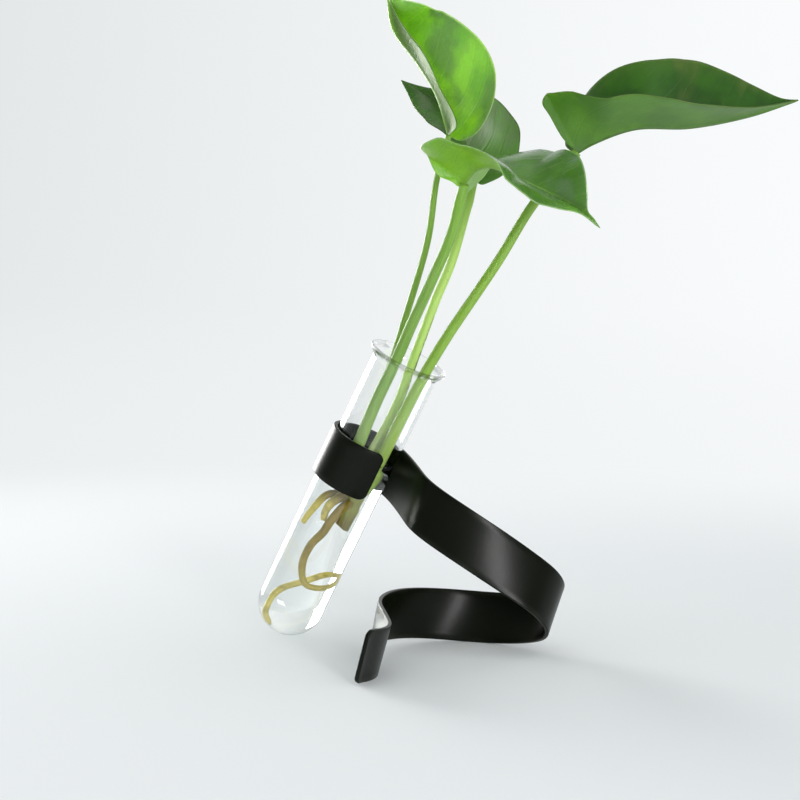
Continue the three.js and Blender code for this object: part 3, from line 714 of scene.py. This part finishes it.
def glass_tube_piece(around=128):
    """The tube's whole profile, outside and inside, turned about its axis."""
    r_out, r_in = TUBE_DIAMETER / 2, TUBE_DIAMETER / 2 - GLASS_WALL
    flare = RIM_RISE - LIP_HEIGHT
    profile = bowl(r_out, 26)
    profile += [(r_out, h) for h in np.linspace(6, flare - 2, 14)]
    lip = [(0, 0), (0.06, 0.18), (0.3, 0.38), (0.62, 0.55), (0.88, 0.72), (1, 0.88)]
    profile += [(r_out + LIP_OVERHANG * a, flare + LIP_HEIGHT * b) for a, b in lip]
    edge, roll = r_out + LIP_OVERHANG, GLASS_WALL / 2
    middle = (edge - roll, RIM_RISE - roll)
    for degrees in (15, 40, 65, 90, 115, 140):
        a = math.radians(degrees)
        profile.append((middle[0] + roll * math.cos(a), middle[1] + roll * math.sin(a)))
    inner_lip = [(0.7, 0.68), (0.42, 0.5), (0.18, 0.34), (0.03, 0.14), (0, -0.1)]
    profile += [(r_in + (LIP_OVERHANG - 0.1) * a, flare + LIP_HEIGHT * b) for a, b in inner_lip]
    profile += [(r_in, h) for h in np.linspace(flare - 3, 6, 14)]
    profile += bowl(r_in, 24)[::-1]
    lip_marks = [eased(h, RIM_RISE - 2.2, RIM_RISE - 1.2) for r, h in profile for _ in range(around)]
    skin_piece(
        "test_tube", from_tube(turned_points(profile, around)), wrapped(len(profile), around),
        {"lip": lip_marks}, tube_glass(), "tube", "glass_tube",
    )


def water_piece(around=96):
    """Water up to a level surface that climbs a little at the glass."""
    radius = TUBE_DIAMETER / 2 - GLASS_WALL + WATER_INTO_GLASS
    points = turned_points(bowl(radius, 20), around)
    angles = np.arange(around) * 2 * math.pi / around

    def level(x, y):
        """How far up the tube the flat surface is over a place in its bore."""
        return (WATER_LEVEL - TUBE_FOOT[2] - x * ACROSS[2] - y * AWAY[2]) / ALONG[2]

    def climb(r):
        """How much higher the water stands near the glass."""
        return WATER_CLIMB * math.exp(-(radius - r) / CLIMB_REACH)

    for share in np.linspace(0.12, 1, 12):
        for a in angles:
            x, y = radius * math.cos(a), radius * math.sin(a)
            points.append((x, y, share * (level(x, y) + climb(radius))))
    from_wall = [radius - gap for gap in (0.12, 0.35, 0.7, 1.2, 2, 3.2)]
    for r in from_wall + [6, 3.5, 1, 0.05]:
        for a in angles:
            x, y = r * math.cos(a), r * math.sin(a)
            points.append((x, y, level(x, y) + climb(r)))
    faces = wrapped(len(points) // around, around)
    skin_piece("tube_water", from_tube(points), faces, {}, tube_water(), "tube", "water")


# The cutting


def outline_at(outline, share):
    """A half leaf's outline at a share of the way from its notch to its tip."""
    p = np.array(outline, float)
    last = len(p) - 1
    spot = min(share, 1.0) * last
    i = min(int(spot), last - 1) if share < 1 else last
    t = spot - i
    a, b, c, d = p[max(i - 1, 0)], p[i], p[min(i + 1, last)], p[min(i + 2, last)]
    leave, arrive = (c - a) / 2, (d - b) / 2
    cubed, squared = 2 * b - 2 * c + leave + arrive, 3 * (c - b) - 2 * leave - arrive
    return cubed * t**3 + squared * t**2 + leave * t + b


def aimed(directions, share, ahead):
    """The direction of a half leaf at a share of its midrib, square to it."""
    p = np.array([unit(v) for v in directions])
    last = len(p) - 1
    spot = share * last
    i = min(int(spot), last - 1)
    t = spot - i
    t = t * t * (3 - 2 * t) * 0.5 + t * 0.5
    out = p[i] * (1 - t) + p[i + 1] * t
    return unit(out - ahead * (out @ ahead))


def fan(directions, line, spread):
    """A half leaf's directions at 101 shares of its midrib, evened over a spread."""
    raw = np.array([aimed(directions, share, line.heading(share)) for share in np.linspace(0, 1, 101)])
    n = round(spread * 100)
    held = np.vstack([np.repeat(raw[:1], n, 0), raw, np.repeat(raw[-1:], n, 0)])
    return np.array([unit(held[i:i + 2 * n + 1].mean(0)) for i in range(101)])


def read_fan(directions, share):
    """The direction of a half leaf between two of its fan's."""
    return unit([np.interp(share * 100, np.arange(101), directions[:, k]) for k in range(3)])


def leaf_piece(number, finish, camber, ripple, waves=2.2, along_steps=84, out_steps=20):
    """A thin leaf blade: its two halves lie on either side of the midrib, with
    a camber across each half, a rippled margin and a rib underneath."""
    leaf = LEAVES[number]
    line = Course(leaf["midrib"], leaf["length"])
    left_fan, right_fan = (fan(leaf[half], line, leaf.get("evened", 0)) for half in ("left", "right"))
    points, marks, ids = [], {"run": [], "out": [], "share": [], "under": []}, {}
    phase = number * 1.7

    def place(i, j, side, layer):
        """The number of a point, made when it is first asked for. Layer 1 is the
        upper side, -1 the lower and 0 the margin."""
        j = 0 if i in (0, along_steps) else j
        key = (i, j * side if j else 0, layer)
        if key in ids:
            return ids[key]
        v, share = i / along_steps, j / out_steps
        edge = outline_at(leaf["left_outline" if side > 0 else "right_outline"], v)
        # Each row leaves the midrib near the stalk and sweeps forward to the margin
        distance = ((1 - share) * v**1.6 + share * edge[0]) * line.length
        reach = max(edge[1], 0) * leaf["half_width"]
        out = reach * share
        where = min(max(distance / line.length, 0), 1)
        ahead = line.heading(where)
        spot = line.at(where) + ahead * (distance - where * line.length)
        left, right = read_fan(left_fan, where), read_fan(right_fan, where)
        facing_left, facing_right = np.cross(ahead, left), np.cross(right, ahead)
        up = unit(facing_left + facing_right)
        outward, facing = (left, facing_left) if side > 0 else (right, facing_right)
        # The two halves round over into each other at the midrib
        facing = unit(facing + up * 1.2 * math.exp(-out / 1.1)) if j else up
        # A half is bent less where it is narrower than 8 mm
        full = min(reach / 8, 1)
        bend = camber * full * math.sin(math.pi * share ** 0.8)
        bend += ripple * full * share**2.5 * math.sin(2 * math.pi * waves * v + phase + side)
        rib = math.exp(-((out / RIB_HALF_WIDTH) ** 2)) * (1 - v) ** 0.3
        half = LEAF_HALF_THICKNESS * (1 - 0.35 * share**3)
        if layer > 0:
            rise = half + RIB_ABOVE * rib
        elif layer < 0:
            rise = -half - RIB_BELOW * rib
        else:
            rise, out = 0.0, out + MARGIN_ROUNDING
        points.append(spot + outward * out + facing * (bend + rise))
        for mark, amount in zip(marks, (distance, out * side, share, float(layer < 0))):
            marks[mark].append(amount)
        ids[key] = len(points) - 1
        return ids[key]

    faces = []
    for side in (1, -1):
        for i in range(along_steps):
            for layer in (1, -1):
                for j in range(out_steps + 1):
                    far_j, far_layer = (j + 1, layer) if j < out_steps else (j, 0)
                    loop = [
                        place(i, j, side, layer), place(i + 1, j, side, layer),
                        place(i + 1, far_j, side, far_layer), place(i, far_j, side, far_layer),
                    ]
                    corners = [c for k, c in enumerate(loop) if c != loop[k - 1]]
                    if len(corners) > 2:
                        faces.append(tuple(corners if side * layer > 0 else corners[::-1]))
    skin_piece(f"blade_{number}", from_tube(points), faces, marks, finish, "plant", f"leaf_{number}")


def petiole_piece(number, finish):
    """A leaf stalk, grooved along one side, thicker at its foot and at its knee."""
    base, tip = PETIOLE_DIAMETERS[number]

    def thickness(share):
        even = base + (tip - base) * share
        knee, foot = swelling(share, 0.93, 0.03), 1 - eased(share, 0.02, 0.2)
        return even * (1 + 0.12 * (knee + foot))

    def section(angle, share):
        groove = max(math.cos(angle - 0.9), 0) ** 6 * 0.16 * eased(share, 0.05, 0.3)
        return 1 - groove

    stalk_piece(
        f"leaf_stalk_{number}", PETIOLES[number] + [LEAVES[number]["midrib"][0]], thickness, finish,
        f"petiole_{number}", rings=140, around=24, section=section,
    )


def stem_piece(finish):
    """The cutting's stem with two knots, its lower end cut off aslant."""
    foot, head = STEM_DIAMETERS

    def thickness(share):
        knots = 0.7 * swelling(share, 0.55, 0.09) + 0.5 * swelling(share, 0.3, 0.06)
        return foot + (head - foot) * share + knots

    def slant(angle, share):
        ragged = noise.noise(Vector((math.cos(angle) * 1.7, math.sin(angle) * 1.7, 4.0))) * 0.9
        return (math.cos(angle) * 0.9 + ragged) * max(1 - share / 0.25, 0)

    stalk_piece("stem_cutting", STEM, thickness, finish, "stem", rings=60, around=28, slant=slant)


def root_piece(name, points, wide, narrow, finish, node, rings):
    """A lumpy root that narrows to a rounded tip."""

    def thickness(share):
        lumps = noise.noise(Vector((share * 16, len(points), 0))) * 0.12
        past = max((share - 0.975) / 0.0251, 0)
        tip = math.sqrt(max(1 - past**2, 0.0004))
        return (wide + (narrow - wide) * share) * (1 + lumps) * tip

    stalk_piece(name, points, thickness, finish, node, rings, around=16)


strip_holder()
glass_tube_piece()
water_piece()

stem_piece(stalk_skin("stem_green", tone(110, 80, 34), tone(150, 146, 66), tone(150, 180, 84)))
petiole_piece(1, stalk_skin("stalk_green_1", tone(172, 200, 108), tone(130, 178, 54), tone(122, 174, 42)))
petiole_piece(2, stalk_skin("stalk_green_2", tone(160, 188, 104), tone(112, 158, 58), tone(122, 174, 48)))
petiole_piece(3, stalk_skin(
    "stalk_green_3", tone(220, 232, 176), tone(190, 224, 118), tone(146, 192, 70), seam=0.9))
petiole_piece(4, stalk_skin("stalk_green_4", tone(174, 200, 100), tone(130, 174, 50), tone(118, 164, 44)))
bark = root_skin()
root_piece("root_stub", STUB, 3.4, 2.0, bark, "root_nub", 50)
root_piece("root_to_bottom", ROOT_LONG, 3.0, 1.5, bark, "root_long", 220)
root_piece("root_to_side", ROOT_SIDE, 2.6, 1.9, bark, "root_side", 90)

# Each leaf's fourth tone is the grey painted on its upper side as sheen
leaf_piece(1, leaf_skin(
    "leaf_green_1", tone(106, 170, 24), tone(138, 200, 34), tone(90, 136, 46), tone(104, 150, 40),
    # left: a darker tone painted on leaf 1's left half as shade
    tone(150, 204, 70), tone(190, 222, 140), roughness=0.22, wax=0.35, left=tone(78, 116, 24),
), camber=1.0, ripple=0.3)
leaf_piece(2, leaf_skin(
    "leaf_green_2", tone(70, 118, 30), tone(88, 138, 44), tone(98, 130, 84), tone(136, 188, 38),
    tone(136, 180, 84), tone(150, 184, 126), roughness=0.2,
), camber=1.0, ripple=0.4)
leaf_piece(3, leaf_skin(
    "leaf_green_3", tone(64, 110, 24), tone(80, 126, 34), tone(86, 112, 62), tone(100, 142, 72),
    tone(104, 140, 80), tone(58, 74, 50), roughness=0.32, wax=0.15,
), camber=0.8, ripple=0.4)
leaf_piece(4, leaf_skin(
    "leaf_green_4", tone(36, 82, 4), tone(50, 100, 8), tone(78, 100, 38), tone(84, 132, 32),
    tone(68, 110, 26), tone(96, 104, 58), roughness=0.36, edge=0.3, wax=0.1, veined=0.18,
), camber=0.5, ripple=0.4)


# Floor, light and camera

# Painted light on the studio: greyer far to the left and whiter far to the right, as light falls off
SEEN_LEFT = tone(224, 228, 228)
SEEN_RIGHT = tone(250, 252, 253)

# The floor's half width, where it bends up, and how high the backdrop is
STAGE_REACH = 12
FLOOR_END = 2.4
BEND_RADIUS = 0.9
BACKDROP_TOP = 3.6

# Nearer than this the floor keeps the shadows on it, and past that it shows the painted glow
SHADOWS_NEAR = 0.2
PLAIN_FROM = 0.6


def pale_studio():
    """A pale matt finish. Away from the vase it glows as backdrop, painted greyer
    to the left and whiter to the right as light falls off.
    """
    finish = Finish("pale_studio")
    place = finish.place()
    fibres = finish.cloud(place, 3.0, 2.0)
    finish.surface(
        Base_Color=finish.mixed(fibres, tone(238, 241, 243), tone(240, 243, 245)),
        Roughness=0.8, Specular_IOR_Level=0.1,
    )
    across = finish.node("SeparateXYZ", inputs={0: place})
    # Painted light: the glow goes from greyer at the left to whiter at the right
    painted_falloff = finish.mixed(across.step(-1.3, 0.9), SEEN_LEFT, SEEN_RIGHT)
    reach = finish.node("VectorMath", {"operation": "LENGTH"}, {0: place}, output=1)
    glow = finish.node("Emission", inputs={0: painted_falloff, 1: 1.0})
    camera, glossy, through = finish.rays()
    looked_at = camera.larger(glossy).larger(through)
    finish.give_way(looked_at * reach.step(SHADOWS_NEAR, PLAIN_FROM), glow)
    return finish.material


def stage_sheet(name, profile, material):
    """A wide sheet of the studio from its profile of [back, up], just under the vase."""
    points = [(x, y, z - 0.00005) for y, z in profile for x in (-STAGE_REACH, STAGE_REACH)]
    faces = [(2 * i, 2 * i + 1, 2 * i + 3, 2 * i + 2) for i in range(len(profile) - 1)]
    mesh = bpy.data.meshes.new(name)
    mesh.from_pydata(points, [], faces)
    mesh.polygons.foreach_set("use_smooth", [True] * len(mesh.polygons))
    mesh.materials.append(material)
    sheet = bpy.data.objects.new(name, mesh)
    bpy.context.scene.collection.objects.link(sheet)


def stage():
    pale = pale_studio()
    stage_sheet("floor", [(-STAGE_REACH, 0.0), (FLOOR_END, 0.0)], pale)
    bend = [
        (FLOOR_END + BEND_RADIUS * math.sin(a), BEND_RADIUS * (1 - math.cos(a)))
        for a in np.linspace(0, math.pi / 2, 14)
    ]
    stage_sheet("backdrop", bend + [(FLOOR_END + BEND_RADIUS, BACKDROP_TOP)], pale)


def softbox(name, place, aim, size, watts, colour=(1.0, 1.0, 1.0), through=True):
    """A rectangular lamp. Where through is False, glass doesn't show it behind itself."""
    lamp = bpy.data.lights.new(name, "AREA")
    lamp.shape, lamp.size, lamp.size_y = "RECTANGLE", *size
    lamp.energy, lamp.color = watts, colour
    box = bpy.data.objects.new(name, lamp)
    box.location = place
    box.rotation_euler = (Vector(aim) - Vector(place)).to_track_quat("-Z", "Y").to_euler()
    box.visible_camera = False
    box.visible_transmission = through
    bpy.context.scene.collection.objects.link(box)


def lights():
    softbox("window", (-0.98, 1.23, 0.38), (0, 0, 0.06), (0.72, 0.7), 16, (1.0, 0.99, 0.97))
    softbox("low_panel", (-0.45, 1.0, 0.12), (-0.04, -0.02, 0.02), (0.35, 0.24), 3, (1.0, 0.99, 0.97), False)
    softbox("overhead", (0.15, 0.0, 1.5), (0, 0, 0.1), (1.2, 1.2), 2.5)
    softbox("front_strip", (0.4, -1.13, 0.26), (0, 0, 0.05), (0.22, 0.6), 7.5)
    world = bpy.data.worlds.new("studio")
    bpy.context.scene.world = world
    air = Finish("studio", world)
    camera, glossy, through = air.rays()
    across = air.node("SeparateXYZ", inputs={0: air.node("TexCoord", output=0)})
    sky = air.mixed(across.step(-0.9, 0.5), SEEN_LEFT, SEEN_RIGHT)
    air.fill(air.skin, {0: sky, 1: (camera + through) * 0.36 - glossy * 0.34 + 0.64})


def camera():
    """Straight on and a little above, tilted down and rolled as in the photograph."""
    pitch, roll = math.radians(CAMERA_TILT), math.radians(CAMERA_ROLL)
    ahead = Vector((0, math.cos(pitch), -math.sin(pitch)))
    right, up = Vector((1, 0, 0)), Vector((0, math.sin(pitch), math.cos(pitch)))
    x = right * math.cos(roll) + up * math.sin(roll)
    y = up * math.cos(roll) - right * math.sin(roll)
    place = (Vector(TUBE_FOOT) + Vector(CAMERA_FROM_TUBE)) * MM
    lens = bpy.data.cameras.new("camera")
    lens.sensor_width, lens.lens = SENSOR_WIDTH, LENS_LENGTH
    lens.clip_start, lens.clip_end = 0.02, 20
    obj = bpy.data.objects.new("camera", lens)
    obj.matrix_world = Matrix((
        (x.x, y.x, -ahead.x, place.x), (x.y, y.y, -ahead.y, place.y),
        (x.z, y.z, -ahead.z, place.z), (0, 0, 0, 1),
    ))
    bpy.context.scene.collection.objects.link(obj)
    bpy.context.scene.camera = obj


stage()
lights()
camera()
bpy.context.scene.view_settings.view_transform = "Standard"
